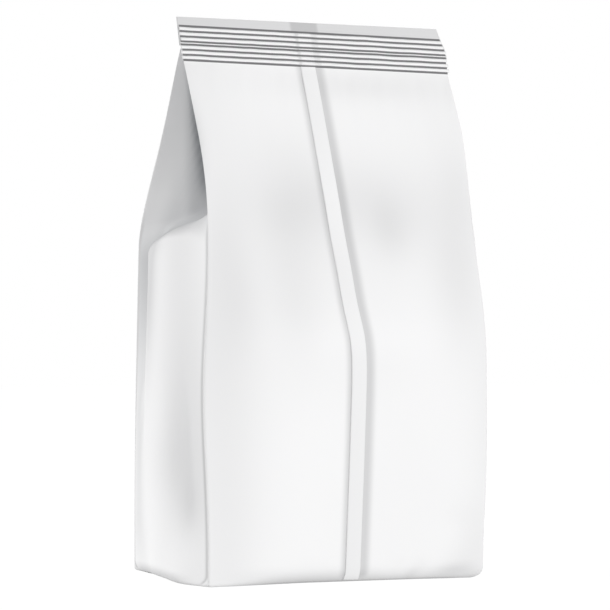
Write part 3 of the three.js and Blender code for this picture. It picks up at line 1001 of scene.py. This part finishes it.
class POUCH_OT_seal_crimps(bpy.types.Operator):
    """Make the ridges pressed across the top seal"""

    bl_idname = "pouch.seal_crimps"
    bl_label = "Seal crimps"

    def execute(self, context):
        sizes = context.scene.pouch_sizes
        shape = PouchShape(sizes)
        seal_height = (shape.height - shape.seal_base) / MM
        cut_start = SEAL_CUT_START / MM
        values = {
            "Ridges": 2 * CRIMPS_PER_GROUP - 1,
            "Pitch": sizes.crimp_pitch,
            "Group Gap": sizes.crimp_gap,
            "Groove": sizes.crimp_groove,
            "Half Thickness": sizes.crimp_proud,
            "Width": sizes.seal_width - 2 * RIDGE_INSET / MM,
            "First Groove": shape.first_groove / MM,
            "Seal Base": shape.seal_base / MM,
            "Seal Y": -SEAL_SETBACK / MM,
            "Lean": shape.lean,
            "Back Rise": SEAL_BACK_RISE / MM,
            "Taper": SEAL_TAPER / shape.seal_half / seal_height,
            "Slope": CRIMP_SLOPE,
            "Cut Start": cut_start,
            "Right Cut": SEAL_RIGHT_CUT / shape.seal_half / (seal_height - cut_start),
            "Right Extra": SEAL_RIGHT_EXTRA / shape.seal_half,
            "Extra Rise": SEAL_EXTRA_RISE / MM,
            "Seam X": SEAM_SEAL_X / MM,
            "Seam Half": sizes.seam_width / 2,
            "Seam Lift": RIDGE_LIFT / MM,
            "Ragged Ends": RIDGE_RAGGED / MM,
            "Finish": shared_film(context.scene.pouch_finish),
        }
        settle(grow_piece("seal_crimps", crimp_tree(values), values, bpy.data.meshes.new("seal_crimps")))
        return {"FINISHED"}


class POUCH_OT_back_seam(bpy.types.Operator):
    """Make the strip of the long back seam"""

    bl_idname = "pouch.back_seam"
    bl_label = "Back seam"

    def execute(self, context):
        sizes = context.scene.pouch_sizes
        line = seam_line(PouchShape(sizes)) / MM
        start = bpy.data.meshes.new("back_seam")
        start.from_pydata(line.tolist(), [(i, i + 1) for i in range(len(line) - 1)], [])
        values = {
            "Width": sizes.seam_width,
            "Thickness": STRIP_THICKNESS / MM,
            "Rounding": STRIP_ROUNDING / MM,
            "Kink Height": sizes.kink_height,
            "Lit Foot": sizes.foot_radius,
            "Finish": shared_film(context.scene.pouch_finish),
        }
        settle(grow_piece("back_seam", seam_tree(values), values, start))
        return {"FINISHED"}


def white_room():
    """A white room: bright along the horizon, dim overhead and below."""
    room = bpy.data.worlds.new("white_room")
    room.use_nodes = True
    bench = NodeBench(room.node_tree)
    way = bench.read("ShaderNodeTexCoord", output="Generated")
    rise = bench.read("ShaderNodeSeparateXYZ", {0: way}, "Z")
    level = bench.read("ShaderNodeValToRGB", {0: bench.ramp(rise, -1, 1)}, stops=ROOM_STEPS)
    sockets = {"Color": (1, 1, 1, 1), "Strength": level * ROOM_STRENGTH}
    glow = bench.read("ShaderNodeBackground", sockets)
    bench.add("ShaderNodeOutputWorld", {"Surface": glow})
    return room


def heading(turn, rise):
    """The way from the pouch at a turn off its front and a height over level, in degrees."""
    turn, rise = math.radians(turn), math.radians(rise)
    return Vector((math.sin(turn) * math.cos(rise), -math.cos(turn) * math.cos(rise), math.sin(rise)))


def softbox(name, turn, rise, power):
    """A large soft light that faces the pouch."""
    lamp = bpy.data.lights.new(name, "AREA")
    lamp.shape = "SQUARE"
    lamp.size = SOFTBOX_SIZE
    lamp.energy = power
    way = heading(turn, rise)
    box = new_piece(name, lamp)
    box.location = Vector((0, 0, SOFTBOX_AIM)) + way * SOFTBOX_DISTANCE
    box.rotation_euler = way.to_track_quat("Z", "Y").to_euler()


def photo_camera():
    """Camera at the photo's angle."""
    back = heading(CAMERA_TURN, CAMERA_TILT)
    right = heading(CAMERA_TURN + 90, 0)
    lens = bpy.data.cameras.new("photo_camera")
    lens.sensor_fit = "HORIZONTAL"
    lens.sensor_width = SENSOR_WIDTH
    lens.lens = CAMERA_LENS
    camera = new_piece("photo_camera", lens)
    aim = Vector((0, 0, AIM_HEIGHT)) + right * AIM_SHIFT
    turned = Matrix((right, back.cross(right), back)).transposed().to_4x4()
    camera.matrix_world = Matrix.Translation(aim + back * CAMERA_DISTANCE) @ turned
    bpy.context.scene.camera = camera


class POUCH_OT_stage(bpy.types.Operator):
    """Make the pale floor, the soft light and the camera"""

    bl_idname = "pouch.stage"
    bl_label = "Stage"

    def execute(self, context):
        scene = context.scene
        corners = [(x * FLOOR_REACH, y * FLOOR_REACH, 0) for x, y in FLOOR_CORNERS]
        floor = new_piece("floor", plain_mesh("floor", corners, [[0, 1, 2, 3]]))
        floor.data.materials.append(floor_finish(scene.pouch_finish))
        floor.visible_diffuse = floor.visible_glossy = floor.visible_shadow = False
        scene.world = white_room()
        for box in SOFTBOXES:
            softbox(*box)
        scene.view_settings.view_transform = "Standard"
        photo_camera()
        return {"FINISHED"}


class POUCH_PT_panel(bpy.types.Panel):
    """Sizes, finish and pieces of the pouch"""

    bl_label = "Flat-bottom pouch"
    bl_idname = "POUCH_PT_panel"
    bl_space_type = "VIEW_3D"
    bl_region_type = "UI"
    bl_category = "Pouch"

    def draw(self, context):
        for group in (context.scene.pouch_sizes, context.scene.pouch_finish):
            column = self.layout.column(align=True)
            for name in group.__annotations__:
                column.prop(group, name)
        for operator in MAKERS:
            self.layout.operator(operator.bl_idname)


MAKERS = (POUCH_OT_film, POUCH_OT_seal_crimps, POUCH_OT_back_seam, POUCH_OT_stage)
CLASSES = (PouchSizes, PouchFinish, *MAKERS, POUCH_PT_panel)


def register():
    for cls in CLASSES:
        bpy.utils.register_class(cls)
    bpy.types.Scene.pouch_sizes = bpy.props.PointerProperty(type=PouchSizes)
    bpy.types.Scene.pouch_finish = bpy.props.PointerProperty(type=PouchFinish)


def unregister():
    del bpy.types.Scene.pouch_finish
    del bpy.types.Scene.pouch_sizes
    for cls in reversed(CLASSES):
        bpy.utils.unregister_class(cls)


def main():
    register()
    bpy.ops.pouch.film()
    bpy.ops.pouch.seal_crimps()
    bpy.ops.pouch.back_seam()
    bpy.ops.pouch.stage()


if __name__ == "__main__":
    main()
